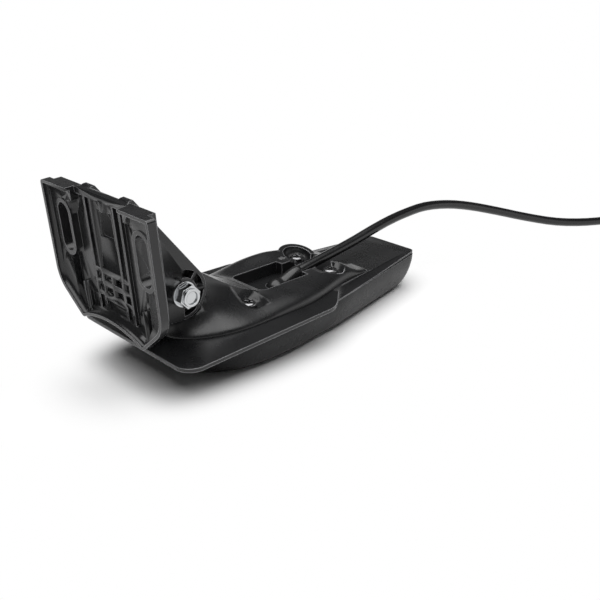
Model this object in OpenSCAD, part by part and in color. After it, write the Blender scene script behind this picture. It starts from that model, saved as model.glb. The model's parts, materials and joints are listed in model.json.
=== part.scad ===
// Transom-mount sonar transducer: hull, spray plate, screwed mount cover, tilting bracket and cable.
// Millimetres. +Z is up, +X runs from the bracket to the stern, and the flat hull bottom is at Z = 0.

/* [Hull] */
// Length from the bracket face to the stern
overall_len = 157; // [152:1:165]
// Height of the hull below the deck plate
hull_h = 16.5; // [15:0.5:18]
// Width of the hull under the spray plate
hull_w = 62; // [58:1:64]
// Width of the hull at the shoulder, where the spray plate steps in
shoulder_w = 55; // [52:1:57]
// Width of the hull at the stern
stern_w = 29; // [26:1:32]
// Wall of the hull
hull_wall = 2.2; // [1.8:0.1:2.6]
// Thickness of the acoustic window in the hull bottom
window_t = 2.5; // [2:0.1:3]

/* [Deck plate] */
// Width of the spray plate at its front edge
plate_w = 73; // [68:1:76]
// Thickness of the deck plate
plate_t = 1.5; // [1.2:0.1:2]
// Distance of the plate's front edge behind the bracket face
plate_front = 6; // [4:0.5:8]

/* [Mount cover] */
// Widest part of the mount cover
cover_w = 50; // [48:1:54]
// Height of the cover's flanks above the deck
cover_h = 5.6; // [5.2:0.1:6.2]
// Width of the pivot lug and of the neck behind it
lug_w = 17; // [16:0.5:18]
// Radius of the pivot lug
lug_r = 9.5; // [9:0.1:10]
// Width of the cable channel between the flanks
channel_w = 20.4; // [19:0.2:21]
// Diameter of the pockets around the cover screws
pocket_d = 12.6; // [11.6:0.2:13]

/* [Transom bracket] */
// Width of the bracket
bracket_w = 69.6; // [67:0.2:73]
// Height of the bracket's top edge above the hull bottom when it stands upright
bracket_top = 76.9; // [75:0.1:80]
// Depth of the bracket plate behind its rim
bracket_t = 4.6; // [4.4:0.1:5]
// Thickness of the bracket's edge behind the slot plane
flange_t = 1.6; // [1.3:0.1:2]
// Height of the bracket's rim in front of the slot plane
rim_lift = 1.8; // [1.4:0.1:2.2]
// Wall of the bracket behind its ribs
bracket_web = 1.2; // [1:0.1:1.6]
// Width of the mounting slots
slot_w = 7.3; // [6.5:0.1:7.8]
// Length of the mounting slots, end to end
slot_len = 19.2; // [17:0.2:20]
// Distance between the mounting slots
slot_pitch = 51; // [50:0.5:52]
// Forward lean of the bracket in its rest position, in degrees
bracket_lean = 3.4; // [0:0.2:4]
// Thickness of each ear
ear_t = 5.8; // [5.4:0.1:6.4]

/* [Pivot] */
// Distance of the pivot behind the bracket face
pivot_x = 21.4; // [21:0.1:22.5]
// Height of the pivot above the hull bottom
pivot_z = 36.8; // [36.2:0.1:38]
// Diameter of the pivot bolt
bolt_d = 5; // [4:0.5:5]
// Diameter of the plain washers
washer_d = 10; // [9.5:0.1:11]
// Thickness of the friction washers beside the lug
friction_t = 0.8; // [0.6:0.1:1.2]

/* [Cover screws] */
// Diameter of the cover screws
screw_d = 3.5; // [3:0.1:3.9]
// Diameter of the screw heads
head_d = 6.6; // [6.2:0.1:7.4]

/* [Cable] */
// Diameter of the cable
cable_d = 4.5; // [4:0.1:5]

/* [Clearances] */
// Radial running gap between the bolt and the pivot sleeve
run_gap = 0.05; // [0.03:0.01:0.1]
// Radial clearance of the screw and bolt holes
hole_gap = 0.2; // [0.1:0.05:0.3]
// Gap between the cover and the path of the ears
swing_gap = 1; // [0.8:0.1:1.5]

/* [Hidden] */
$fn = 64;
black = "#1b1c1e";
soft_black = "#222326";
steel = "#c9ccd0";

// Heights and places shared by several pieces
deck_z = hull_h + plate_t;
bow_x = plate_front + 8;
shoulder_x = 94;
stern_r = 2.5;
screw_front = [52.8, 14.5];
screw_aft = [103, 10.6];
front_seat = 3.4;
aft_seat = 2.4;
screw_places = [for (p = [concat(screw_front, front_seat), concat(screw_aft, aft_seat)], s = [-1, 1])
    [p.x, s * p.y, deck_z + p.z]];
screw_len = 15;
head_h = 2.3;
boss_r = 4;
lug_y = lug_w / 2;
ear_in = lug_y + run_gap + friction_t;
ear_out = ear_in + ear_t;
ear_r = 10.5;
gland_at = [80.5, 0, deck_z + 0.2];
gland_tilt = 11;
sleeve_len = 14;
stem_r = 4.4;

function smooth(t) = let (u = max(0, min(1, t))) u * u * (3 - 2 * u);
function lerp(a, b, t) = a + (b - a) * t;
function unit(v) = v / norm(v);
function arc(c, r, a, b, n) = [for (i = [0:n]) c + r * [cos(lerp(a, b, i / n)), sin(lerp(a, b, i / n))]];
// Rounded nose: 0 at the tip, 1 from the full width on
function nose(x, tip, full, p) =
    x >= full ? 1 : pow(max(0, 1 - pow(min(1, (full - x) / (full - tip)), p)), 1 / p);
// What a round corner of radius r takes off the width near the end
function corner_cut(x, end, r) = x <= end - r ? 0 : r - sqrt(max(0, r * r - pow(x - end + r, 2)));

// The top of the leaning bracket's rim is the foremost point, and the origin is at the middle of the length
foremost = pivot_x - (pivot_x + rim_lift) * cos(bracket_lean) - (bracket_top - pivot_z) * sin(bracket_lean);
module placed() translate([-(overall_len + foremost) / 2, 0, 0]) children();
// Turns the bracket about the pivot to its rest position
module leaning() translate([pivot_x, 0, pivot_z]) rotate([0, -bracket_lean, 0])
    translate([-pivot_x, 0, -pivot_z]) children();
// Extrudes a (Y, Z) outline along X from x0
module face_extrude(x0, depth) translate([x0, 0, 0]) rotate([90, 0, 90]) linear_extrude(depth) children();
// Extrudes an (X, Z) outline along Y between y0 and y1
module side_extrude(y0, y1) translate([0, y1, 0]) rotate([90, 0, 0]) linear_extrude(y1 - y0) children();
// A cylinder about the pivot axis between y0 and y1
module pivot_cylinder(r, y0, y1) translate([pivot_x, y1, pivot_z]) rotate([90, 0, 0]) cylinder(r = r, h = y1 - y0);
module both_sides() for (s = [0, 1]) mirror([0, s, 0]) children();

// Skins a stack of closed rings that all have the same number of points
module loft(rings) {
    m = len(rings[0]);
    last = len(rings) - 1;
    sides = [for (i = [0:last - 1], j = [0:m - 1])
        [i * m + j, (i + 1) * m + j, (i + 1) * m + (j + 1) % m, i * m + (j + 1) % m]];
    ends = [[for (j = [0:m - 1]) j], [for (j = [m - 1:-1:0]) last * m + j]];
    polyhedron(points = [for (r = rings) each r], faces = concat(ends, sides), convexity = 6);
}

// Hull form: half width of the top edge, and the ring at a height, set in by a wall
function deck_edge(x) = lerp(shoulder_w, stern_w, (x - shoulder_x) / (overall_len - shoulder_x)) / 2;
function hull_side(x) =
    x > shoulder_x ? deck_edge(x) : lerp(shoulder_w, hull_w, smooth((shoulder_x - x) / 34)) / 2;
function hull_half(x) = hull_side(x) * nose(x, bow_x, 53, 2.4) - corner_cut(x, overall_len, stern_r);
function hull_ring(z, wall, n) =
    let (u = 1 - min(1, z / hull_h),
         bilge = 1 - sqrt(max(0, 1 - pow(u, 4))),
         inset = 3 * max(0, (u - 0.18) / 0.82) + 6.4 * bilge + wall,
         x0 = bow_x + 6 * u + 9 * bilge + 1.5 * wall,
         x1 = overall_len - 1.2 * u - 4.4 * u * u - 7 * bilge - wall,
         k = 1 - 2 * inset / hull_w,
         side = [for (i = [0:n]) let (t = (1 - cos(180 * i / n)) / 2)
             [lerp(x0, x1, t), k * hull_half(lerp(bow_x, overall_len, t))]])
    concat([for (i = [0:n]) [side[i].x, -side[i].y, z]], [for (i = [n:-1:1]) [side[i].x, side[i].y, z]]);

module hull_housing() placed() color(black) difference() {
    union() {
        difference() {
            loft([for (u = [1, 0.985, 0.94, 0.86, 0.74, 0.58, 0.38, 0.18, 0]) hull_ring(hull_h * (1 - u), 0, 36)]);
            loft([for (z = [window_t, 5, 9, hull_h + 0.5]) hull_ring(z, hull_wall, 20)]);
        }
        for (p = screw_places)
            translate([p.x, p.y, window_t - 0.5])
                cylinder(r = boss_r, h = hull_h - window_t + 0.5);
    }
    for (p = screw_places)
        translate([p.x, p.y, p.z - screw_len])
            cylinder(d = screw_d, h = screw_len);
}

// Sonar elements on the acoustic window, their backing, potting and electronics
disc_x = 71.5;
disc_r = 11;
disc_h = 5.5;
inner_gap = 1.5;
end_room = 13;
bar_x = disc_x + disc_r + inner_gap;
bar = [overall_len - end_room - bar_x, 9, 6];
potting_h = 8.5;
potting_lead = 23.5;
potting_share = 0.62;
potting_z = window_t + potting_h;
board = [36, 12, 1.6];
board_x = 86;
chip_d = 7;

module bar_block(z0, h) translate([bar_x, -bar.y / 2, z0]) cube([bar.x, bar.y, h]);

module potting_block() placed() color("#3a3129") difference() {
    stations = [for (i = [0:12]) lerp(disc_x - potting_lead, overall_len - end_room + 2, i / 12)];
    outline = concat([for (x = stations) [x, -potting_share * hull_half(x)]],
                     [for (i = [12:-1:0]) [stations[i], potting_share * hull_half(stations[i])]]);
    translate([0, 0, window_t]) linear_extrude(potting_h) polygon(outline);
    translate([disc_x, 0, window_t - 1]) cylinder(r = disc_r, h = potting_h + 2);
    bar_block(window_t - 1, potting_h + 2);
    for (p = screw_places)
        translate([p.x, p.y, window_t - 1])
            cylinder(r = boss_r, h = potting_h + 2);
}

module conical_element() placed() color("#cbb58a") translate([disc_x, 0, window_t]) cylinder(r = disc_r, h = disc_h);

module scan_element() placed() color("#cbb58a") bar_block(window_t, bar.z);

module element_backings() placed() color("#7a5a3a") {
    translate([disc_x, 0, window_t + disc_h])
        cylinder(r = disc_r, h = potting_h - disc_h);
    bar_block(window_t + bar.z, potting_h - bar.z);
}

module temperature_sensor() placed() color("#30343a") translate([bow_x + 20, 0, window_t]) cylinder(d = 3, h = 5);

module circuit_board() placed() color("#1f5b37") {
    translate([board_x, -board.y / 2, potting_z])
        cube(board);
    translate([board_x + 0.6 * board.x, 0, potting_z + board.z - 0.1])
        cylinder(d = chip_d, h = 1.8);
}

lead_d = 1;
lead_z = potting_z + board.z + lead_d / 2;
module lead_wires() placed() color("#a33a2a")
    for (y = [-4.5, -1.5, 1.5, 4.5])
        translate([gland_at.x - 2, y, lead_z])
            rotate([0, 90, 0])
                cylinder(d = lead_d, h = 20);

// Spray plate and rear deck: the plate's lip steps in and runs aft as a tongue
lip_from = 80;
lip_to = 104;
tongue_w = 38.4;
tongue_end = stern_w - 4;
function lip_half(x) =
    x < lip_from ? lerp(plate_w, plate_w - 5.4, (x - plate_front) / (lip_from - plate_front)) / 2 :
    x < lip_to ? lerp(plate_w - 5.4, tongue_w, smooth((x - lip_from) / (lip_to - lip_from))) / 2 :
    lerp(tongue_w, tongue_end, (x - lip_to) / (overall_len - lip_to)) / 2;
function deck_half(x) = max(lip_half(x), x > lip_from ? deck_edge(x) : 0);
plate_r = 7;
lip_xs = [for (i = [1:14]) lerp(lip_from, lip_to, i / 14)];
function front_corner() = arc([plate_front + plate_r, -plate_w / 2 + plate_r], plate_r, 180, 265, 8);
function stern_corner() =
    let (half = deck_half(overall_len))
    arc([overall_len - stern_r, -half + stern_r], stern_r, -78, 0, 5);

module symmetric(side) polygon(concat(side, [for (i = [len(side) - 1:-1:0]) [side[i].x, -side[i].y]]));
module deck_outline() symmetric(concat(front_corner(), [[lip_from, -lip_half(lip_from)]],
    [for (x = lip_xs) [x, -deck_half(x)]], stern_corner()));
module tongue_outline() symmetric(concat([[plate_front, -60], [lip_from, -60]],
    [for (x = lip_xs) [x, -lip_half(x)]], [[overall_len + 1, -lip_half(overall_len)]]));

// Hull edge strip beside the tongue: it falls away from the tongue to the deck edge
strip_fall = 5.5;
lip_step = 0.9;
lip_fade = 1.1;
module strip_cut() intersection() {
    translate([0, 0, hull_h + 0.5]) linear_extrude(plate_t) difference() {
        translate([lip_from, 0]) square([overall_len, plate_w]);
        tongue_outline();
    }
    translate([lip_to, tongue_w / 2, deck_z - lip_step])
        rotate([0, 0, atan2(tongue_end - tongue_w, 2 * (overall_len - lip_to))])
            rotate([-strip_fall, -lip_fade, 0])
                translate([-40, -5, 0])
                    cube([120, 40, 4]);
}

module deck_plate() placed() color(black) difference() {
    translate([0, 0, hull_h]) linear_extrude(plate_t) deck_outline();
    both_sides() strip_cut();
    for (p = screw_places)
        translate([p.x, p.y, hull_h - 1])
            cylinder(d = screw_d + 2 * hole_gap, h = plate_t + 2);
    translate([gland_at.x, 0, hull_h - 1])
        cylinder(r = stem_r, h = plate_t + 2);
    along_cable() sleeve_cone();
}

// Mount cover form: flanks that swell round the base, and a neck that climbs to the lug
cover_nose = 15;
cover_tail = 121;
neck_end = 64;
neck_rise = 17.8;
function cover_half(x) =
    cover_w / 2 * nose(x, cover_nose, 50, 2.2) - 8.2 * (1 - cos(180 * max(0, min(1, (x - 72) / 45)))) / 2;
function flank(x) = cover_h * nose(x, cover_nose, 40, 2) * (1 - 0.87 * smooth((x - 107) / 14));
function neck(x) = x > neck_end ? 0 : neck_rise * pow((neck_end - max(x, 32.6)) / (neck_end - 32.6), 1.35)
    * smooth((x - cover_nose) / 9);
function flank_z(x, v) =
    let (p = lerp(2.8, 8, smooth((x - 48) / 30)))
    flank(x) * pow(max(0, 1 - pow(v, p)), 0.5);
function cover_side(x, n) =
    let (b = cover_half(x), w = min(lug_y, 0.6 * b))
    [for (i = [0:n]) let (s = sin(90 * i / n), y = lerp(w, b, s))
        [x, y, deck_z + flank_z(x, y / b) + neck(x) * pow(1 - s, 2.2)]];
function cover_ring(x, n) =
    let (far = cover_side(x, n))
    concat([for (i = [n:-1:0]) far[i]], [for (i = [0:n]) [far[i].x, -far[i].y, far[i].z]]);
function hollow_ring(x, wall, n) =
    let (b = cover_half(x) - 1.2 * wall)
    concat([[x, b, deck_z - 1]],
           [for (i = [0:n]) let (v = cos(180 * i / n)) [x, b * v, deck_z + max(0.1, flank_z(x, abs(v)) - wall)]],
           [[x, -b, deck_z - 1]]);

cover_wall = 2.4;
channel_from = 63.5;
channel_step = 90;
notch_w = 13;

module channel(grow) {
    w = channel_w / 2 + grow;
    r = 3;
    translate([channel_from + r - grow, -w]) square([channel_step - channel_from - r + 2 * grow, 2 * w]);
    translate([channel_from - grow, -w + r]) square([2 * r, 2 * w - 2 * r]);
    for (s = [-1, 1])
        translate([channel_from + r - grow, s * (w - r)])
            circle(r = r);
    translate([channel_step - 1, -notch_w / 2 - grow]) square([50, notch_w + 2 * grow]);
}

module neck_profile() {
    xs = [for (i = [0:16]) lerp(32.6, neck_end - 2, i / 16)];
    polygon(concat([[cover_nose + 1.5, deck_z]],
        arc([pivot_x, pivot_z], lug_r, 180, 58, 16),
        [for (x = xs) [x, deck_z + flank_z(x, 0) + neck(x)]], [[neck_end - 2, deck_z]]));
}

// Space that the ears need as the bracket tilts about the pivot
module ear_path() {
    pivot_cylinder(ear_r + swing_gap, lug_y, 40);
    side_extrude(lug_y, 40) polygon([[-10, deck_z + 4], [pivot_x - 7, deck_z + 4],
        [pivot_x + 1, pivot_z - ear_r - swing_gap], [pivot_x + 1, 80], [-10, 80]]);
}

// Pocket of a cover screw; a front one is smaller, set aft, and opens inwards to the side of the neck
front_pocket_d = 10.6;
front_pocket_aft = 1.7;
neck_wall = 0.9;
module screw_pocket(p, grow) {
    front = p.x < channel_from;
    d = (front ? front_pocket_d : pocket_d) + 2 * grow;
    translate([front ? front_pocket_aft : 0, 0, 0]) {
        cylinder(d = d, h = 60);
        if (front)
            mirror([0, p.y > 0 ? 1 : 0, 0])
                translate([-d / 2, 0, 0])
                    cube([d, abs(p.y) - lug_y - neck_wall + grow, 60]);
    }
}

module cover_hollow() difference() {
    loft([for (i = [0:9]) hollow_ring(lerp(24, 112, i / 9), cover_wall, 10)]);
    for (p = screw_places)
        translate([p.x, p.y, deck_z - 2])
            screw_pocket(p, 1.5);
    translate([0, 0, deck_z - 2]) linear_extrude(60) channel(2.2);
    translate([0, -lug_y, deck_z - 2]) cube([neck_end - 2, lug_w, 60]);
}

// Collar round the far aft screw, rising to the outer side
collar_rise = 13;
module raised_collar() translate([screw_aft.x, screw_aft.y, deck_z]) difference() {
    cylinder(d = pocket_d + 4.4, h = 12);
    translate([0, 0, cover_h + 0.2]) rotate([collar_rise, 0, 0]) translate([-20, -20, 0]) cube([40, 40, 20]);
}

module mount_cover() placed() color(black) difference() {
    union() {
        loft([for (i = [0:40]) cover_ring(lerp(cover_nose + 0.6, cover_tail, i / 40), 12)]);
        side_extrude(-lug_y, lug_y) neck_profile();
        raised_collar();
    }
    both_sides() ear_path();
    cover_hollow();
    translate([28, -lug_y + 3, deck_z - 1]) cube([22, lug_w - 6, 9]);
    translate([0, 0, deck_z - 0.5]) linear_extrude(60) channel(0);
    for (p = screw_places) {
        translate([p.x, p.y, p.z])
            screw_pocket(p, 0);
        translate([p.x, p.y, deck_z - 1])
            cylinder(d = screw_d + 2 * hole_gap, h = 6);
    }
    pivot_cylinder(sleeve_r, -40, 40);
}

// Four pan-head screws with a cross recess
module pan_screw() {
    difference() {
        rotate_extrude() polygon(concat([[0, -screw_len], [screw_d / 2 - 0.5, -screw_len],
            [screw_d / 2, -screw_len + 1], [screw_d / 2, 0], [head_d / 2, 0], [head_d / 2, 0.9]],
            arc([head_d / 2 - 1.2, head_h - 1.2], 1.2, 15, 90, 5), [[0, head_h]]));
        for (a = [0, 90])
            rotate([0, 0, a])
                translate([-head_d * 0.29, -0.4, head_h - 1.3])
                    cube([head_d * 0.58, 0.8, 2]);
    }
}
module cover_screws() placed() color(steel)
    for (i = [0:3])
        translate(screw_places[i])
            rotate([0, 0, 20 + 35 * i])
                pan_screw();

// Pivot: sleeve pressed in the lug, bolt, nut and washers through the ears
sleeve_r = bolt_d / 2 + run_gap + 1;
module pivot_ring(r_in, r_out, y0, y1) difference() {
    pivot_cylinder(r_out, y0, y1);
    pivot_cylinder(r_in, y0 - 1, y1 + 1);
}
module hex(across, y0, y1) translate([pivot_x, y1, pivot_z]) rotate([90, 0, 0])
    rotate([0, 0, 12]) cylinder(d = across / cos(30), h = y1 - y0, $fn = 6);

washer_t = 1;
hex_af = 1.6 * bolt_d;
head_t = 0.7 * bolt_d;
nut_t = 0.7 * bolt_d;
seat_y = ear_out + washer_t;

module pivot_sleeve() placed() color("#8f9296") pivot_ring(bolt_d / 2 + run_gap, sleeve_r, -lug_y, lug_y);
module friction_washers() placed() color(soft_black)
    for (y0 = [lug_y + run_gap, -ear_in])
        pivot_ring(bolt_d / 2 + hole_gap, ear_r - 1.5, y0, y0 + friction_t);
module pivot_bolt() placed() color(steel) {
    pivot_cylinder(bolt_d / 2, -seat_y - nut_t - 0.4, seat_y + 0.5);
    hex(hex_af, seat_y, seat_y + head_t);
}
module bolt_washer() placed() color(steel) pivot_ring(bolt_d / 2 + hole_gap, washer_d / 2, ear_out, seat_y);
module nut_washer() placed() color(steel) pivot_ring(bolt_d / 2 + hole_gap, washer_d / 2, -seat_y, -ear_out);
module pivot_nut() placed() color(steel) difference() {
    union() {
        hex(hex_af, -seat_y - nut_t, -seat_y);
        pivot_cylinder(hex_af / 2 - 0.5, -seat_y - nut_t - 1, -seat_y);
    }
    pivot_cylinder(bolt_d / 2, -40, 0);
}

// Transom bracket: outline, pockets between its ribs, slots and ears
tip_y = 20.2;
tip_z = deck_z + 6.7;
chamfer_z = deck_z + 20;
arch_rise = 4;
rim = 1.2;
top_rim = 2.6;
recess = 0.8;
edge_step = 4.4;
slot_z = bracket_top - 17.4;
slot_wall = 1.6;
rib_a = 6.5;
rib_b = 10.8;
rib_t = 1.2;
corner_r = 12;
field_depth = 2;
field_y = 17;
panel_depth = 2.8;
half_w = bracket_w / 2;
arch_r = (tip_y * tip_y + arch_rise * arch_rise) / (2 * arch_rise);
arch_a = asin(tip_y / arch_r);

module mirrored_outline(side) polygon(concat(side, [for (i = [len(side) - 1:-1:0]) [-side[i].x, side[i].y]]));
// Right half of the outline, set in by d, from the top to the arch
function bracket_side(d) =
    let (c = max(1.5, d + 0.3))
    concat(arc([half_w - c, bracket_top - c], c - d, 90, 0, 5),
           arc([half_w - corner_r, chamfer_z + 4], corner_r - d, 0, -55, 7),
           arc([tip_y - 0.4, tip_z + 2.4], 2.4 - min(d, 2), -48, -110, 5),
           [for (i = [1:7]) let (a = lerp(arch_a, 0, i / 8))
               [arch_r * sin(a), tip_z + arch_rise - arch_r * (1 - cos(a)) + d]]);

module slot(grow) for (s = [-1, 1])
    translate([s * slot_pitch / 2, slot_z]) {
        h = (slot_len - slot_w) / 2;
        translate([-slot_w / 2 - grow, -h]) square([slot_w + 2 * grow, 2 * h]);
        for (t = [-1, 1])
            translate([0, t * h])
                circle(d = slot_w + 2 * grow);
    }

module box2(y0, y1, z0, z1) translate([y0, z0]) square([y1 - y0, z1 - z0]);
// Shallow band round the slots inside the rim, and the deeper field of the middle
band_y = 19.6;
module slot_band() both_sides_2d() intersection() {
    mirrored_outline(bracket_side(rim));
    box2(band_y, half_w, 0, bracket_top - top_rim);
}
module middle_field() {
    intersection() {
        mirrored_outline(bracket_side(edge_step + 0.8));
        box2(-band_y, band_y, 0, bracket_top - top_rim);
    }
    box2(-field_y, field_y, slot_z, bracket_top + 1);
}
// Rim that stands in front of the slots, open at the top of the middle
module front_rim() difference() {
    mirrored_outline(bracket_side(0));
    mirrored_outline(bracket_side(rim));
    box2(-field_y, field_y, slot_z, bracket_top + 1);
}
// Deep pockets: from the ribs to each slot, below it, and along the sloping edge
module deep_pockets() both_sides_2d() {
    intersection() {
        middle_field();
        box2(rib_b + rib_t, band_y, slot_z - slot_len / 2 - 1.6, bracket_top - top_rim);
    }
    intersection() {
        mirrored_outline(bracket_side(edge_step + 1.2));
        union() {
            box2(band_y - 1, band_y + 1, slot_z - slot_len / 2 - 1.6, bracket_top - 6.5);
            box2(20.5, slot_pitch / 2 - 0.5, 0, slot_z - 8);
            box2(rib_b + rib_t, slot_pitch / 2 - 0.5, tip_z + 14, slot_z - slot_len / 2 - 1.6);
            box2(rib_b + rib_t, band_y - 1, 0, tip_z + 14.1);
            box2(20.5, half_w, 0, tip_z + 11);
        }
    }
}
module both_sides_2d() for (s = [0, 1]) mirror([s, 0]) children();
// Grooves between the two ribs, and the shallow panels of the middle
band_z = deck_z + 23.8;
module groove_pockets() both_sides_2d() intersection() {
    middle_field();
    union() {
        box2(rib_a + rib_t, rib_b, band_z + 5.6, bracket_top - top_rim);
        box2(rib_a + rib_t, rib_b, 0, band_z - 5.6);
    }
}
module panel_pockets() intersection() {
    middle_field();
    union() {
        box2(-rib_a, rib_a, band_z + 6, bracket_top - top_rim);
        box2(-rib_a, rib_a, 0, band_z - 6);
    }
}
// Lattice band of small cells, in two rows
module lattice_cells() for (row = [-2.5, 2.5])
    both_sides_2d() {
        box2(rib_a + rib_t, rib_b, band_z + row - 1.5, band_z + row + 1.5);
        box2(0.7, rib_a - 0.5, band_z + row - 1.5, band_z + row + 1.5);
    }
module window() box2(-4.6, 4.6, bracket_top - 16.6, bracket_top - 6.1);

// Top and bottom edges of an ear run from the bracket plate to its round end
ear_bump = 0.5;
module ear_profile() {
    top = [bracket_t + 1.6, bracket_top + ear_bump];
    low = [bracket_t - 1, tip_z + 3.6];
    pivot = [pivot_x, pivot_z];
    up = top - pivot;
    down = low - pivot;
    a = atan2(up.y, up.x) - acos(ear_r / norm(up));
    b = atan2(down.y, down.x) + acos(ear_r / norm(down));
    polygon([[bracket_t - 1, bracket_top - 1], [bracket_t - 0.4, bracket_top + 0.6 * ear_bump],
        [bracket_t + 0.4, bracket_top + ear_bump], top, pivot + ear_r * [cos(a), sin(a)], pivot,
        pivot + ear_r * [cos(b), sin(b)], low]);
    translate(pivot) circle(r = ear_r);
}
// Ring sector pockets round the bolt boss
module ear_pockets() for (a = [68, 20, -28, -74])
    translate([pivot_x, pivot_z])
        polygon(concat(arc([0, 0], ear_r - 1.3, a - 19, a + 19, 8), arc([0, 0], 6.2, a + 19, a - 19, 8)));

module transom_bracket() placed() leaning() color(black) difference() {
    union() {
        difference() {
            union() {
                face_extrude(-rim_lift, rim_lift + flange_t) front_rim();
                face_extrude(0, flange_t) mirrored_outline(bracket_side(0));
                face_extrude(0, bracket_t) mirrored_outline(bracket_side(edge_step));
                face_extrude(0, bracket_t) box2(-half_w + edge_step, half_w - edge_step, slot_z, bracket_top);
            }
            face_extrude(-rim_lift, recess + rim_lift) slot_band();
            face_extrude(-rim_lift, field_depth + rim_lift) middle_field();
            face_extrude(-1, bracket_t - bracket_web + 1) deep_pockets();
            face_extrude(-1, bracket_t - bracket_web + 1) groove_pockets();
            face_extrude(-1, panel_depth + 1) panel_pockets();
            face_extrude(-1, bracket_t - bracket_web + 1) lattice_cells();
        }
        face_extrude(recess / 2, bracket_t - recess / 2) slot(slot_wall);
        intersection() {
            translate([bracket_t + 0.4, 0, bracket_top - 6]) cylinder(r = 3.4, h = 4);
            translate([0, -5, 0]) cube([bracket_t, 10, bracket_top]);
        }
        both_sides() side_extrude(ear_in, ear_out) ear_profile();
    }
    face_extrude(-1, bracket_t + 2) slot(0);
    face_extrude(-1, bracket_t + 2) window();
    pivot_cylinder(bolt_d / 2 + hole_gap, -40, 40);
    both_sides() side_extrude(ear_out - 3, ear_out + 1) ear_pockets();
}

// Cable: strain relief in the deck, the free run over the stern, and the coil with its plug
module along_cable() translate(gland_at) rotate([0, 90 - gland_tilt, 0]) children();
module sleeve_cone() cylinder(r1 = 3.6, r2 = 2.8, h = sleeve_len);
module cable_gland() placed() color(soft_black) difference() {
    union() {
        translate([gland_at.x, 0, lead_z + lead_d / 2])
            cylinder(r = stem_r, h = gland_at.z - lead_z - lead_d / 2);
        translate(gland_at) sphere(r = stem_r);
        along_cable() sleeve_cone();
    }
    along_cable() translate([0, 0, sleeve_len - 6]) cylinder(d = cable_d, h = 10);
}

// Route of the cable behind the sleeve, chosen by hand: over the stern, down and aft to the coil
cable_r = cable_d / 2;
cable_start = gland_at + (sleeve_len - 6) * [cos(gland_tilt), 0, sin(gland_tilt)];
route = [cable_start, [95, 0, 21], [106, 0, 22.6], [118, 0, 24.2], [130, 0, 26], [142, 0, 28.2],
         [154, 0, 30], [166, -0.4, 31.2], [180, -1.2, 31.6], [196, -3, 29.6], [212, -6, 25.8],
         [230, -11, 20.2], [250, -17.5, 13.6], [270, -25, 8], [290, -33, 5], [312, -40.3, 3.7],
         [338, -45, cable_r + 1.2], [370, -46.5, cable_r + 1.2], [415, -46.5, cable_r + 1.2],
         [460, -46.5, cable_r + 1.2]];
function spline(p, i, t) =
    let (a = p[max(0, i - 1)], b = p[i], c = p[i + 1], d = p[min(len(p) - 1, i + 2)])
    b + t * (c - a) / 2 + t * t * (a - 2.5 * b + 2 * c - d / 2) + t * t * t * (1.5 * (b - c) + (d - a) / 2);
function smooth_route(p, steps) = concat([for (i = [0:len(p) - 2], k = [0:steps - 1]) spline(p, i, k / steps)],
    [p[len(p) - 1]]);
function tube_rings(path, r, sides) = [for (i = [0:len(path) - 1])
    let (along = unit(path[min(len(path) - 1, i + 1)] - path[max(0, i - 1)]),
         across = unit(cross([0, 0, 1], along)),
         up = cross(along, across))
    [for (k = [0:sides - 1]) path[i] + r * (cos(360 * k / sides) * across + sin(360 * k / sides) * up)]];

module cable_run() placed() color(soft_black) loft(tube_rings(smooth_route(route, 2), cable_r, 10));

tie_w = 10;
tie_t = 1.2;
coil_at = [460, -6, tie_t];
coil_r = 31.5;
coil_cols = 5;
coil_rows = 6;
coil_size = [coil_cols * cable_d, coil_rows * cable_d];
module coil_section() {
    r = cable_r;
    translate([coil_r - coil_size.x / 2 + r, 0]) square([coil_size.x - 2 * r, coil_size.y]);
    translate([coil_r - coil_size.x / 2, r]) square([coil_size.x, coil_size.y - 2 * r]);
    for (x = [-1, 1], z = [r, coil_size.y - r])
        translate([coil_r + x * (coil_size.x / 2 - r), z])
            circle(r = r);
}
module cable_coil() placed() color(soft_black) translate(coil_at) rotate_extrude($fn = 96) coil_section();

// Flat strap round one side of the coil
module coil_tie() placed() color("#2c2d30") translate(coil_at) rotate([0, 0, -30]) {
    outer = coil_r + coil_size.x / 2;
    inner = sqrt(pow(coil_r - coil_size.x / 2, 2) - pow(tie_w / 2, 2));
    translate([inner - tie_t, -tie_w / 2, -tie_t]) difference() {
        cube([outer - inner + 2 * tie_t, tie_w, coil_size.y + 2 * tie_t]);
        translate([tie_t, -1, tie_t]) cube([outer - inner, tie_w + 2, coil_size.y]);
    }
}

// Last length of the cable: it leaves the coil's top turn straight on and comes down to the plug
tail_turn = 125;
tail_head = [-sin(tail_turn), cos(tail_turn), 0];
top_turn_r = coil_r + coil_size.x / 2 - cable_r;
tail_from = coil_at + top_turn_r * [cos(tail_turn), sin(tail_turn), 0];
plug_r = 8;
tail_fall = [[0, tie_t + coil_size.y - cable_r - 0.05], [7, 25.2], [14, 23], [22, 18.6], [31, 13], [38, 9.6],
             [45, plug_r], [56.8, plug_r]];
tail = [for (p = tail_fall) [tail_from.x, tail_from.y, p.y] + p.x * tail_head];
plug_at = [tail_from.x, tail_from.y, plug_r] + 57 * tail_head;
module at_plug(x)
    translate(plug_at)
        rotate([0, 0, tail_turn + 90])
            translate([x, 0, 0])
                rotate([0, 90, 0])
                    children();
module cable_tail() placed() color(soft_black) loft(tube_rings(smooth_route(tail, 2), cable_r, 10));

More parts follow.
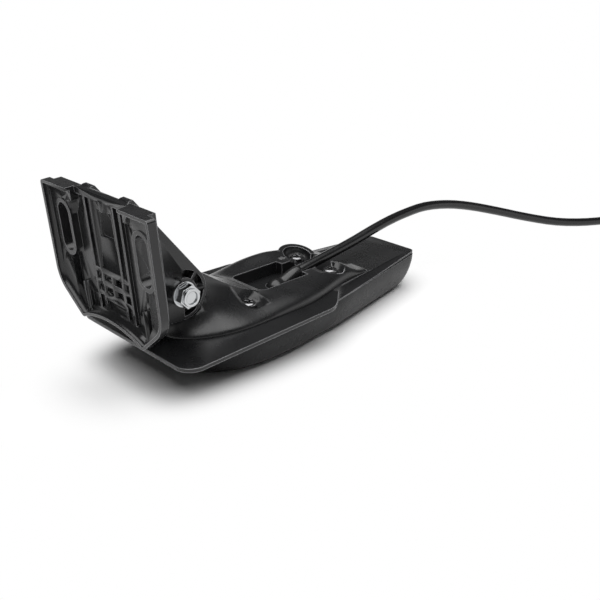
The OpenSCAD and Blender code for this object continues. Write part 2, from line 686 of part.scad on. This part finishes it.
boot_len = 12;
boot_r = 5;
grip_r = 6.4;
grip_len = 22;
nose_r = 5.2;
nose_len = 8;
bore_r = 4.2;
bore_from = 14;
insert_t = 5;
pin_d = 1;
pin_len = 7;
ring_from = 20;
ring_len = 11;
ring_groove = 1.1;
module plug_boot() placed() color(soft_black) difference() {
    at_plug(-boot_len) cylinder(r1 = 0.64 * boot_r, r2 = boot_r, h = boot_len);
    at_plug(-boot_len - 1) cylinder(d = cable_d, h = boot_len + 8);
}
module plug_body() placed() color(black) difference() {
    union() {
        at_plug(0) cylinder(r = grip_r, h = grip_len);
        at_plug(grip_len) cylinder(r = nose_r, h = nose_len);
    }
    at_plug(bore_from) cylinder(r = bore_r, h = grip_len + nose_len);
}
module plug_ring() placed() color(black) difference() {
    at_plug(ring_from) cylinder(r = plug_r, h = ring_len);
    at_plug(ring_from - 1) cylinder(r = grip_r, h = grip_len - ring_from + 1);
    at_plug(grip_len) cylinder(r = nose_r, h = ring_len);
    for (a = [0:30:330])
        at_plug(ring_from - 1)
            rotate([0, 0, a + 15])
                translate([plug_r + 0.45 * ring_groove, 0, 0])
                    cylinder(r = ring_groove, h = ring_len + 2);
}
module plug_insert() placed() color("#2e3033") at_plug(bore_from) cylinder(r = bore_r, h = insert_t);
module plug_pins() placed() color("#c9a24a")
    for (a = [45:90:315])
        at_plug(bore_from + insert_t)
            rotate([0, 0, a])
                translate([0.52 * bore_r, 0, 0])
                    cylinder(d = pin_d, h = pin_len);

hull_housing();
potting_block();
conical_element();
scan_element();
element_backings();
temperature_sensor();
circuit_board();
lead_wires();
deck_plate();
mount_cover();
cover_screws();
pivot_sleeve();
cable_gland();
cable_run();
cable_coil();
coil_tie();
cable_tail();
plug_boot();
plug_body();
plug_ring();
plug_insert();
plug_pins();
transom_bracket();
friction_washers();
pivot_bolt();
bolt_washer();
nut_washer();
pivot_nut();
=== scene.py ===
"""Dresses the sonar transducer: camera, cable, skins of the mouldings, finishes and studio light.

The part's lengths are design millimetres, measured as in the part's source from the upright bracket face.
They become metres through at() or MM. The stage and its lights are in metres.
"""
import json
import math

import bmesh
import bpy
from mathutils import Matrix, Vector


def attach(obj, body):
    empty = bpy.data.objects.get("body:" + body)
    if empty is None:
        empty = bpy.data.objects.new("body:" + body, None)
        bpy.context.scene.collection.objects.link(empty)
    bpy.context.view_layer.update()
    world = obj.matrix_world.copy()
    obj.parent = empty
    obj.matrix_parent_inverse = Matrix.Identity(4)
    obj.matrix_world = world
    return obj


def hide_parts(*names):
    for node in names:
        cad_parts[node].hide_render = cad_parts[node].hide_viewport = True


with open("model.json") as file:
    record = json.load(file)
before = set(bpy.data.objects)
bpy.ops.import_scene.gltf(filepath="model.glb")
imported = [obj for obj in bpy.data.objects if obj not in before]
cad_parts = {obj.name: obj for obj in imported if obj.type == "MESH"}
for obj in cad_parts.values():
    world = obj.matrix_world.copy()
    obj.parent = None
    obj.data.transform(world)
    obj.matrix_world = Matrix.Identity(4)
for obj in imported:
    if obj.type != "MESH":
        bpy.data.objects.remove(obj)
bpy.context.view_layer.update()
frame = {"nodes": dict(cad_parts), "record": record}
nodes = frame["nodes"]
scene = bpy.context.scene

# As in the part's source: the bracket leans about its pivot, and the middle of the length is the origin
MM = 0.001
LEAN = math.radians(3.4)
PIVOT_X, PIVOT_Z = 21.4, 36.8
BRACKET_TOP = 76.9
RIM_LIFT = 1.8
STERN_X = 157
FOREMOST_X = PIVOT_X - (PIVOT_X + RIM_LIFT) * math.cos(LEAN) - (BRACKET_TOP - PIVOT_Z) * math.sin(LEAN)
SHIFT_X = -(STERN_X + FOREMOST_X) / 2


def at(x, y, z):
    """Point in metres of design millimetres."""
    return Vector(((x + SHIFT_X) * MM, y * MM, z * MM))


def design(co):
    """Design millimetres of a point in metres."""
    return co.x / MM - SHIFT_X, co.y / MM, co.z / MM


def smooth(t):
    """Soft step from 0 to 1."""
    t = min(1, max(0, t))
    return t * t * (3 - 2 * t)


# Camera, fitted to the photograph: its place, the direction back from the object, roll and focal length
EYE = at(-139.848, -247.536, 159.036)
BACK = Vector((-0.62806, -0.66253, 0.40817)).normalized()
ROLL = math.radians(-0.36)
FOCAL_PX = 830.6
FRAME_PX = 600
SENSOR = 36


def make_camera():
    level = Vector((0, 0, 1)).cross(BACK).normalized()
    above = BACK.cross(level)
    right = math.cos(ROLL) * level + math.sin(ROLL) * above
    up = math.cos(ROLL) * above - math.sin(ROLL) * level
    data = bpy.data.cameras.new("camera")
    data.sensor_width = SENSOR
    data.lens = FOCAL_PX / FRAME_PX * SENSOR
    data.clip_start = 0.01
    data.clip_end = 50
    cam = bpy.data.objects.new("camera", data)
    cam.matrix_world = Matrix((right, up, BACK)).transposed().to_4x4()
    cam.location = EYE
    scene.collection.objects.link(cam)
    scene.camera = cam


# Cable: the route listed, the coil by a loop, the tail listed as distances from the coil and heights.
# Angles of the coil are in degrees
CABLE_D = 4.5
RUN = [(88.353, 0, 19.7265), (95, 0, 21), (106, 0, 22.6), (118, 0, 24.2), (130, 0, 26), (142, 0, 28.2),
       (154, 0, 30), (166, -0.4, 31.2), (180, -1.2, 31.6), (196, -3, 29.6), (212, -6, 25.8),
       (230, -11, 20.2), (250, -17.5, 13.6), (270, -25, 8), (290, -33, 5), (312, -40.3, 3.7),
       (338, -45, 3.45), (370, -46.5, 3.45), (415, -46.5, 3.45), (460, -46.5, 3.45)]
TAIL_FALL = [(7, 25.2), (14, 23), (22, 18.6), (31, 13), (38, 9.6), (45, 8), (56.8, 8)]
COIL_X, COIL_Y, COIL_Z = 460, -6, 3.45
COIL_OUTER = 40.5
COIL_COLUMNS = 5
COIL_ROWS = 6
COIL_STEPS = 36
STEP_SECTOR = 30
COIL_START = -90
COIL_END = 125
ROUTE_STEPS = 3


def smooth_route(points):
    """Catmull-Rom through the points."""
    p = [Vector(q) for q in points]
    out = []
    for i in range(len(p) - 1):
        before, a, b, after = p[max(0, i - 1)], p[i], p[i + 1], p[min(len(p) - 1, i + 2)]
        for k in range(ROUTE_STEPS):
            t = k / ROUTE_STEPS
            out.append(0.5 * (2 * a + (b - before) * t + (2 * before - 5 * a + 4 * b - after) * t * t
                              + (3 * a - before - 3 * b + after) * t ** 3))
    return out + [p[-1]]


def coil_points():
    """Rows of turns side by side, inward and outward in turn. In each row the cable steps over by a diameter
    once a turn, and at the row's end it climbs a diameter just before that place."""
    turn = 360
    row_angle = COIL_COLUMNS * turn - 2 * STEP_SECTOR
    whole = (COIL_ROWS * COIL_COLUMNS - 2) * turn + (COIL_END - COIL_START) % turn
    count = round(whole / turn * COIL_STEPS)
    out = []
    for i in range(1, count + 1):
        wound = whole * i / count
        row = min(COIL_ROWS - 1, int(wound / row_angle))
        into = wound - row * row_angle
        steps = sum(smooth((into - turn * k) / STEP_SECTOR + 2) for k in range(1, COIL_COLUMNS))
        column = steps if row % 2 == 0 else COIL_COLUMNS - 1 - steps
        climb = smooth((into - row_angle) / STEP_SECTOR + 1) if row < COIL_ROWS - 1 else 0
        radius = COIL_OUTER - CABLE_D * column
        angle = math.radians(COIL_START + wound)
        out.append((COIL_X + radius * math.cos(angle), COIL_Y + radius * math.sin(angle),
                    COIL_Z + CABLE_D * (row + climb)))
    return out


def tail_points():
    """Straight on from the coil's last turn, coming down to the plug."""
    turn = math.radians(COIL_END)
    start_x = COIL_X + COIL_OUTER * math.cos(turn)
    start_y = COIL_Y + COIL_OUTER * math.sin(turn)
    return [(start_x - away * math.sin(turn), start_y + away * math.cos(turn), z) for away, z in TAIL_FALL]


def make_cable(material):
    line = smooth_route(RUN) + [Vector(p) for p in coil_points()] + smooth_route(tail_points())
    curve = bpy.data.curves.new("cable", "CURVE")
    curve.dimensions = "3D"
    curve.bevel_depth = CABLE_D / 2 * MM
    curve.bevel_resolution = 5
    curve.use_fill_caps = True
    spline = curve.splines.new("POLY")
    spline.points.add(len(line) - 1)
    for point, p in zip(spline.points, line):
        point.co = (*at(*p), 1)
    spline.use_smooth = True
    cable = bpy.data.objects.new("cable", curve)
    scene.collection.objects.link(cable)
    curve.materials.append(material)
    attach(cable, "transducer")
    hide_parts("cable_run", "cable_coil", "cable_tail")


# Finishes: two colours of the mottle, the range of roughness, and what differs from a plain moulding.
# The rounding of an edge is in millimetres
BLACK = ((0.009, 0.0092, 0.0098), (0.012, 0.0122, 0.0128))
# Pale colour painted on the open edges of the black mouldings: a painted highlight where those edges would
# catch the light
PAINTED_EDGE_HIGHLIGHT = (0.3, 0.3, 0.31)
LOOKS = {
    "black_plastic": {"colours": BLACK, "rough": (0.25, 0.31), "edge": 0.7, "painted_highlight": PAINTED_EDGE_HIGHLIGHT},
    "bracket_plastic": {"colours": BLACK, "rough": (0.22, 0.28), "edge": 0.45, "painted_highlight": PAINTED_EDGE_HIGHLIGHT},
    "hull_plastic": {"colours": BLACK, "rough": (0.25, 0.31), "edge": 0.7, "painted_highlight": PAINTED_EDGE_HIGHLIGHT, "specular": 0.15},
    "black_rubber": {"colours": ((0.010, 0.010, 0.0105), (0.014, 0.014, 0.0145)), "rough": (0.24, 0.3),
                     "bump": 0.03},
    "cable_jacket": {"colours": ((0.008, 0.008, 0.0085), (0.011, 0.011, 0.0115)), "rough": (0.18, 0.24),
                     "bump": 0.02, "edge": 0, "specular": 0.4},
    "stainless": {"colours": ((0.5, 0.51, 0.52), (0.62, 0.63, 0.64)), "rough": (0.08, 0.15),
                  "metal": 1, "bump": 0.05, "edge": 0.25},
    "screw_steel": {"colours": ((0.2, 0.2, 0.205), (0.28, 0.28, 0.285)), "rough": (0.2, 0.3),
                    "metal": 1, "bump": 0.05},
    "sleeve_steel": {"colours": ((0.5, 0.5, 0.51), (0.58, 0.58, 0.59)), "rough": (0.25, 0.4),
                     "metal": 1, "bump": 0.05},
    "washer_plastic": {"colours": ((0.02, 0.02, 0.021), (0.028, 0.028, 0.029)), "rough": (0.5, 0.6)},
    "potting": {"colours": ((0.1, 0.085, 0.07), (0.13, 0.11, 0.09)), "rough": (0.35, 0.5)},
    "piezo": {"colours": ((0.55, 0.46, 0.31), (0.65, 0.55, 0.39)), "rough": (0.5, 0.65)},
    "backing": {"colours": ((0.3, 0.2, 0.12), (0.42, 0.3, 0.18)), "rough": (0.7, 0.85),
                "grain": 500, "bump": 0.4},
    "board": {"colours": ((0.03, 0.19, 0.08), (0.05, 0.25, 0.11)), "rough": (0.3, 0.4)},
    "lead": {"colours": ((0.42, 0.06, 0.04), (0.52, 0.09, 0.06)), "rough": (0.4, 0.5)},
    "sensor": {"colours": ((0.03, 0.033, 0.036), (0.045, 0.05, 0.055)), "rough": (0.2, 0.3)},
    "strap": {"colours": ((0.02, 0.02, 0.022), (0.035, 0.035, 0.038)), "rough": (0.8, 0.95),
              "grain": 1500, "bump": 0.6},
    "pin_brass": {"colours": ((0.7, 0.52, 0.22), (0.78, 0.6, 0.28)), "rough": (0.2, 0.3),
                  "metal": 1, "bump": 0.03},
}
# Scale and detail of the noises, and the part of a noise's range that is used
MOTTLE_NOISE = (60, 4)
GLOSS_NOISE = (140, 3)
GRAIN_DETAIL = 2
GRAIN_DEPTH = 0.2 * MM
NOISE_USED = (0.3, 0.7)
# Where the edge highlight is painted, on an outer edge: how far the rounded normal turns from the face's own,
# and how open the place is
EDGE_TURN = (0.97, 0.8)
EDGE_OPEN = (0.6, 0.85)
EDGE_REACH = 2 * MM
EDGE_SAMPLES = 8
OPEN_SAMPLES = 4


def combine(tree_nodes, links, operation, first, second):
    """Math of two values."""
    node = tree_nodes.new("ShaderNodeMath")
    node.operation = operation
    links.new(first, node.inputs[0])
    links.new(second, node.inputs[1])
    return node.outputs[0]


def map_range(tree_nodes, links, value, given, wanted=(0, 1), course="LINEAR"):
    """Value taken from a given range to the wanted one and kept inside it."""
    node = tree_nodes.new("ShaderNodeMapRange")
    node.interpolation_type = course
    node.inputs["From Min"].default_value = given[0]
    node.inputs["From Max"].default_value = given[1]
    node.inputs["To Min"].default_value = wanted[0]
    node.inputs["To Max"].default_value = wanted[1]
    links.new(value, node.inputs["Value"])
    return node.outputs["Result"]


def noise(tree_nodes, links, scale, detail):
    """Noise in the row frame."""
    where = tree_nodes.new("ShaderNodeTexCoord")
    node = tree_nodes.new("ShaderNodeTexNoise")
    node.inputs["Scale"].default_value = scale
    node.inputs["Detail"].default_value = detail
    links.new(where.outputs["Object"], node.inputs["Vector"])
    return node.outputs["Fac"]


def ramp(tree_nodes, links, value, colours):
    """Colour ramp between two colours."""
    node = tree_nodes.new("ShaderNodeValToRGB")
    for stop, position, colour in zip(node.color_ramp.elements, NOISE_USED, colours):
        stop.position = position
        stop.color = (*colour, 1)
    links.new(value, node.inputs["Fac"])
    return node.outputs["Color"]


def on_open_edges(tree_nodes, links, rounded):
    """Mask of the painted edge highlight: 1 on the outer edges, where the rounded normal leaves the face's
    own, and 0 on faces and in corners.
    """
    own = tree_nodes.new("ShaderNodeNewGeometry")
    along = tree_nodes.new("ShaderNodeVectorMath")
    along.operation = "DOT_PRODUCT"
    links.new(rounded, along.inputs[0])
    links.new(own.outputs["Normal"], along.inputs[1])
    turned = map_range(tree_nodes, links, along.outputs["Value"], EDGE_TURN)
    open_air = tree_nodes.new("ShaderNodeAmbientOcclusion")
    open_air.samples = OPEN_SAMPLES
    open_air.inputs["Distance"].default_value = EDGE_REACH
    outer = map_range(tree_nodes, links, open_air.outputs["AO"], EDGE_OPEN)
    return combine(tree_nodes, links, "MULTIPLY", turned, outer)


def finish(name, colours, rough, grain=900, bump=0.1, metal=0, edge=0.35, specular=0.5, painted_highlight=None):
    """A moulded or machined finish: mottled colour, uneven gloss, fine grain, rounded edges and, where given,
    a highlight painted on the open edges.
    """
    material = bpy.data.materials.new(name)
    material.use_nodes = True
    n, links = material.node_tree.nodes, material.node_tree.links
    shader = n["Principled BSDF"]
    shader.inputs["Metallic"].default_value = metal
    shader.inputs["Specular IOR Level"].default_value = specular
    colour = ramp(n, links, noise(n, links, *MOTTLE_NOISE), colours)
    links.new(colour, shader.inputs["Base Color"])
    gloss = map_range(n, links, noise(n, links, *GLOSS_NOISE), NOISE_USED, rough)
    links.new(gloss, shader.inputs["Roughness"])
    height = n.new("ShaderNodeBump")
    height.inputs["Strength"].default_value = bump
    height.inputs["Distance"].default_value = GRAIN_DEPTH
    links.new(noise(n, links, grain, GRAIN_DETAIL), height.inputs["Height"])
    if edge:
        rounded = n.new("ShaderNodeBevel")
        rounded.samples = EDGE_SAMPLES
        rounded.inputs["Radius"].default_value = edge * MM
        links.new(rounded.outputs["Normal"], height.inputs["Normal"])
    # Painted highlight: a pale colour mixed into the base colour on the open edges
    if painted_highlight:
        painted_edges = n.new("ShaderNodeMixRGB")
        painted_edges.inputs["Color2"].default_value = (*painted_highlight, 1)
        links.new(on_open_edges(n, links, rounded.outputs["Normal"]), painted_edges.inputs["Fac"])
        links.new(colour, painted_edges.inputs["Color1"])
        links.new(painted_edges.outputs["Color"], shader.inputs["Base Color"])
    links.new(height.outputs["Normal"], shader.inputs["Normal"])
    return material


# Skins: the moulded nodes again, welded and smooth shaded
OWN_FINISH = {"hull_housing": "hull_plastic", "cover_screws": "screw_steel"}
SMOOTH_DEG = {
    "hull_housing": 32,
    "mount_cover": 24,
    "deck_plate": 24,
    "transom_bracket": 24,
    "cable_gland": 40,
}
WELD = 0.02 * MM
# Far shoulder of the cover and the collar of the far aft screw
DECK_Z = 18
SHOULDER_RISE = 3.3
SHOULDER_CLIMB = (58, 96)
SHOULDER_FALL = (98, 110)
SHOULDER_ACROSS = (10.3, 19.3)
SHOULDER_ABOVE = (DECK_Z + 1, DECK_Z + 5)
COLLAR_X, COLLAR_Y, COLLAR_Z = 103, 10.6, 23.8
COLLAR_R = 8.5
COLLAR_SLOPE = math.tan(math.radians(13))
# Nearer to the screw than the first the cover stays, and up to the second it stops at the collar's rim
COLLAR_WALL = (COLLAR_R - 0.2, COLLAR_R + 1)
# Gland: its knuckle is lowered, and its sleeve climbs to the cable
KNUCKLE_DROP = 1.7
SLEEVE_CLIMB = (80.5, 92)


def share(value, span):
    """How far a value has come along a span, which is 0 at its start and 1 at its end."""
    return (value - span[0]) / (span[1] - span[0])


def raise_far_shoulder(welded):
    """The cover's far shoulder climbs aft to the collar of the far aft screw."""
    for vert in welded.verts:
        x, y, z = design(vert.co)
        from_screw = math.hypot(x - COLLAR_X, y - COLLAR_Y)
        if from_screw < COLLAR_WALL[0]:
            continue
        along = smooth(share(x, SHOULDER_CLIMB)) * (1 - smooth(share(x, SHOULDER_FALL)))
        across = min(1, max(0, share(y, SHOULDER_ACROSS)))
        above = smooth(share(z, SHOULDER_ABOVE))
        lifted = z + SHOULDER_RISE * along * across * above
        if from_screw < COLLAR_WALL[1]:
            rim = COLLAR_Z + COLLAR_SLOPE * (y - COLLAR_Y)
            lifted = max(z, min(lifted, rim))
        vert.co.z = lifted * MM


def sink_knuckle(welded):
    """The gland's knuckle lies low in the channel, and its sleeve climbs to the cable."""
    for vert in welded.verts:
        x = design(vert.co)[0]
        vert.co.z -= KNUCKLE_DROP * (1 - smooth(share(x, SLEEVE_CLIMB))) * MM


RESHAPE = {"mount_cover": raise_far_shoulder, "cable_gland": sink_knuckle}


# Lower end of the bracket's ribbed field: it runs on down to the arch. Depths are behind the slot plane,
# PROUD lies before it, and a rim is what stays between a cut and the arch
ARCH_R, ARCH_TOP = 53, 28.7
ARCH_STEPS = 8
PROUD = -1.4
FIELD_HALF = 19.4
FIELD_TOP = 34.4
FIELD_DEPTH = 2
FIELD_RIM = 1.4
BACKING_RIM = 0.3
BACKING_TOP = 34.2
BACKING_DEPTHS = (1, 4.6)
POCKET_RIM = 2.6
PANEL_HALF, PANEL_TOP, PANEL_DEPTH = 6.5, 35.8, 2.8
GROOVE_DEPTH = 3.4
# Inner and outer side and top of the grooves on one side of the middle
GROOVES = [(12, 18.6, FIELD_TOP), (7.7, 10.8, 36.2)]


def on_bracket(depth, y, z):
    """Point behind the bracket's slot plane, in metres, with the bracket's lean."""
    u, w = depth - PIVOT_X, z - PIVOT_Z
    leaned_x = PIVOT_X + u * math.cos(LEAN) - w * math.sin(LEAN)
    leaned_z = PIVOT_Z + u * math.sin(LEAN) + w * math.cos(LEAN)
    return at(leaned_x, y, leaned_z)


def arch_z(y):
    """Height of the bracket's lower edge."""
    return ARCH_TOP - ARCH_R + math.sqrt(ARCH_R ** 2 - y ** 2)


def add_prism(tool, y0, y1, above_arch, top, front, back):
    """Block between two depths behind the slot plane, with its lower side along the arch."""
    ys = [y0 + (y1 - y0) * i / ARCH_STEPS for i in range(ARCH_STEPS + 1)]
    outline = [(y, arch_z(y) + above_arch) for y in ys] + [(y1, top), (y0, top)]
    rings = [[tool.verts.new(on_bracket(depth, y, z)) for y, z in outline] for depth in (front, back)]
    tool.faces.new(rings[0])
    tool.faces.new(reversed(rings[1]))
    for i in range(len(outline)):
        j = (i + 1) % len(outline)
        tool.faces.new((rings[0][i], rings[1][i], rings[1][j], rings[0][j]))


def work(skin, operation, prisms):
    """Joins blocks to the skin or cuts them from it."""
    blocks = bmesh.new()
    for prism in prisms:
        add_prism(blocks, *prism)
    bmesh.ops.recalc_face_normals(blocks, faces=blocks.faces)
    mesh = bpy.data.meshes.new("blocks")
    blocks.to_mesh(mesh)
    blocks.free()
    tool = bpy.data.objects.new("blocks", mesh)
    scene.collection.objects.link(tool)
    step = skin.modifiers.new("work", "BOOLEAN")
    step.operation = operation
    step.solver = "EXACT"
    step.object = tool
    graph = bpy.context.evaluated_depsgraph_get()
    skin.data = bpy.data.meshes.new_from_object(skin.evaluated_get(graph))
    skin.modifiers.clear()
    bpy.data.objects.remove(tool)


def extend_lower_field(skin):
    """Ribs, grooves and panels of the bracket run on down to the arch."""
    pockets = [(-PANEL_HALF, PANEL_HALF, POCKET_RIM, PANEL_TOP, PROUD, PANEL_DEPTH)]
    for sides in (GROOVES, [(-outer, -inner, top) for inner, outer, top in GROOVES]):
        pockets += [(y0, y1, POCKET_RIM, top, PROUD, GROOVE_DEPTH) for y0, y1, top in sides]
    work(skin, "UNION", [(-FIELD_HALF, FIELD_HALF, BACKING_RIM, BACKING_TOP, *BACKING_DEPTHS)])
    work(skin, "DIFFERENCE", [(-FIELD_HALF, FIELD_HALF, FIELD_RIM, FIELD_TOP, PROUD, FIELD_DEPTH)])
    work(skin, "DIFFERENCE", pockets)


def make_skin(node, material, body):
    """Copy of a node that takes its place in the picture."""
    mesh = nodes[node].data.copy()
    mesh.name = node + "_skin"
    welded = bmesh.new()
    welded.from_mesh(mesh)
    bmesh.ops.remove_doubles(welded, verts=welded.verts, dist=WELD)
    if node in RESHAPE:
        RESHAPE[node](welded)
    welded.to_mesh(mesh)
    welded.free()
    skin = bpy.data.objects.new(node + "_skin", mesh)
    scene.collection.objects.link(skin)
    if node == "transom_bracket":
        extend_lower_field(skin)
    skin.data.shade_smooth()
    skin.data.set_sharp_from_angle(angle=math.radians(SMOOTH_DEG[node]))
    skin.data.materials.clear()
    skin.data.materials.append(material)
    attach(skin, body)
    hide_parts(node)


def dress_nodes(finishes):
    """A finish on every node or on its skin."""
    slot_of = {s["node"]: s["material_slot"] for s in frame["record"]["subparts"]}
    bodies = frame["record"]["behaviour"]["bodies"]
    body_of = {n: b for b, names in bodies.items() for n in names}
    for name, obj in nodes.items():
        slot = slot_of[name]
        material = finishes[OWN_FINISH.get(name, slot)]
        if name in SMOOTH_DEG:
            make_skin(name, material, body_of[name])
            continue
        obj.data.materials.clear()
        obj.data.materials.append(material)


# Stage: a white floor that keeps the shadow, a dim surround and soft lights
FLOOR_COLOUR = 0.92
FLOOR_REACH = 6
FLOOR_DROP = 0.3 * MM
# Middle, squeeze, and start and end of the floor's rise to white, round the body and round the coil
SHADOW_PLACES = [
    (at(80, 4, 0), (0.4, 1, 0), (0.03, 0.053)),
    (at(COIL_X, COIL_Y, 0), (1, 1, 0), (0.04, 0.049)),
]
WORLD_LIGHT = 0.06
# Height, as a share of straight up, over which the mirrored backdrop fades to the surround
BACKDROP_FADE = (0.1, 0.25)
TOP_LIGHT = {"place": (-0.12, -0.06, 0.9), "target": (-0.12, -0.06, 0), "size": (1.2, 1.34), "power": 16}
SIDE_LIGHT = {"place": (0.6, -0.7, 0.25), "target": (0, 0, 0.02), "size": (0.7, 0.3), "power": 0.5}


def seen_directly(tree_nodes, links):
    """1 for camera, glossy and transmission rays."""
    path = tree_nodes.new("ShaderNodeLightPath")
    rays = combine(tree_nodes, links, "MAXIMUM", path.outputs["Is Camera Ray"], path.outputs["Is Glossy Ray"])
    return combine(tree_nodes, links, "MAXIMUM", rays, path.outputs["Is Transmission Ray"])


def outside(tree_nodes, links, middle, squeeze, rise):
    """0 inside an oval on the floor, growing to 1 round it."""
    where = tree_nodes.new("ShaderNodeNewGeometry")
    offset = tree_nodes.new("ShaderNodeVectorMath")
    offset.operation = "SUBTRACT"
    offset.inputs[1].default_value = middle
    links.new(where.outputs["Position"], offset.inputs[0])
    oval = tree_nodes.new("ShaderNodeVectorMath")
    oval.operation = "MULTIPLY"
    oval.inputs[1].default_value = squeeze
    links.new(offset.outputs["Vector"], oval.inputs[0])
    away = tree_nodes.new("ShaderNodeVectorMath")
    away.operation = "LENGTH"
    links.new(oval.outputs["Vector"], away.inputs[0])
    return map_range(tree_nodes, links, away.outputs["Value"], rise, course="SMOOTHSTEP")


def far_and_seen(tree_nodes, links):
    """Rise of the floor to white, away from the shadows and only where it is seen."""
    total = seen_directly(tree_nodes, links)
    for place in SHADOW_PLACES:
        total = combine(tree_nodes, links, "MULTIPLY", total, outside(tree_nodes, links, *place))
    return total


def floor_material():
    material = bpy.data.materials.new("floor")
    material.use_nodes = True
    n, links = material.node_tree.nodes, material.node_tree.links
    n.clear()
    out = n.new("ShaderNodeOutputMaterial")
    diffuse = n.new("ShaderNodeBsdfDiffuse")
    diffuse.inputs["Color"].default_value = (FLOOR_COLOUR, FLOOR_COLOUR, FLOOR_COLOUR, 1)
    lift = n.new("ShaderNodeEmission")
    lift.inputs["Color"].default_value = (1, 1, 1, 1)
    total = n.new("ShaderNodeMixShader")
    links.new(far_and_seen(n, links), total.inputs["Fac"])
    links.new(diffuse.outputs[0], total.inputs[1])
    links.new(lift.outputs[0], total.inputs[2])
    links.new(total.outputs[0], out.inputs["Surface"])
    return material


def make_floor():
    corners = [(-1, -1), (1, -1), (1, 1), (-1, 1)]
    mesh = bpy.data.meshes.new("floor")
    mesh.from_pydata([(x * FLOOR_REACH, y * FLOOR_REACH, 0) for x, y in corners], [], [(0, 1, 2, 3)])
    mesh.materials.append(floor_material())
    floor = bpy.data.objects.new("floor", mesh)
    floor.location.z = -FLOOR_DROP
    scene.collection.objects.link(floor)


def backdrop_seen(tree_nodes, links):
    """The backdrop is white to the camera, and to glossy and transmission rays up to a low height."""
    where = tree_nodes.new("ShaderNodeTexCoord")
    height = tree_nodes.new("ShaderNodeSeparateXYZ")
    links.new(where.outputs["Generated"], height.inputs["Vector"])
    low = map_range(tree_nodes, links, height.outputs["Z"], BACKDROP_FADE, (1, 0), "SMOOTHSTEP")
    mirrored = combine(tree_nodes, links, "MULTIPLY", seen_directly(tree_nodes, links), low)
    path = tree_nodes.new("ShaderNodeLightPath")
    return combine(tree_nodes, links, "MAXIMUM", path.outputs["Is Camera Ray"], mirrored)


def make_world():
    world = bpy.data.worlds.new("surround")
    scene.world = world
    world.use_nodes = True
    n, links = world.node_tree.nodes, world.node_tree.links
    n.clear()
    out = n.new("ShaderNodeOutputWorld")
    sky = n.new("ShaderNodeBackground")
    sky.inputs["Color"].default_value = (1, 1, 1, 1)
    strength = map_range(n, links, backdrop_seen(n, links), (0, 1), (WORLD_LIGHT, 1))
    links.new(strength, sky.inputs["Strength"])
    links.new(sky.outputs[0], out.inputs["Surface"])


def soft_light(name, place, target, size, power):
    data = bpy.data.lights.new(name, "AREA")
    data.shape = "RECTANGLE"
    data.size, data.size_y = size
    data.energy = power
    lamp = bpy.data.objects.new(name, data)
    lamp.location = place
    lamp.rotation_mode = "QUATERNION"
    lamp.rotation_quaternion = (Vector(target) - Vector(place)).to_track_quat("-Z", "Y")
    scene.collection.objects.link(lamp)


scene.view_settings.view_transform = "Standard"
finishes = {name: finish(name, **look) for name, look in LOOKS.items()}
make_camera()
make_cable(finishes["cable_jacket"])
dress_nodes(finishes)
make_floor()
make_world()
soft_light("top", **TOP_LIGHT)
soft_light("side", **SIDE_LIGHT)
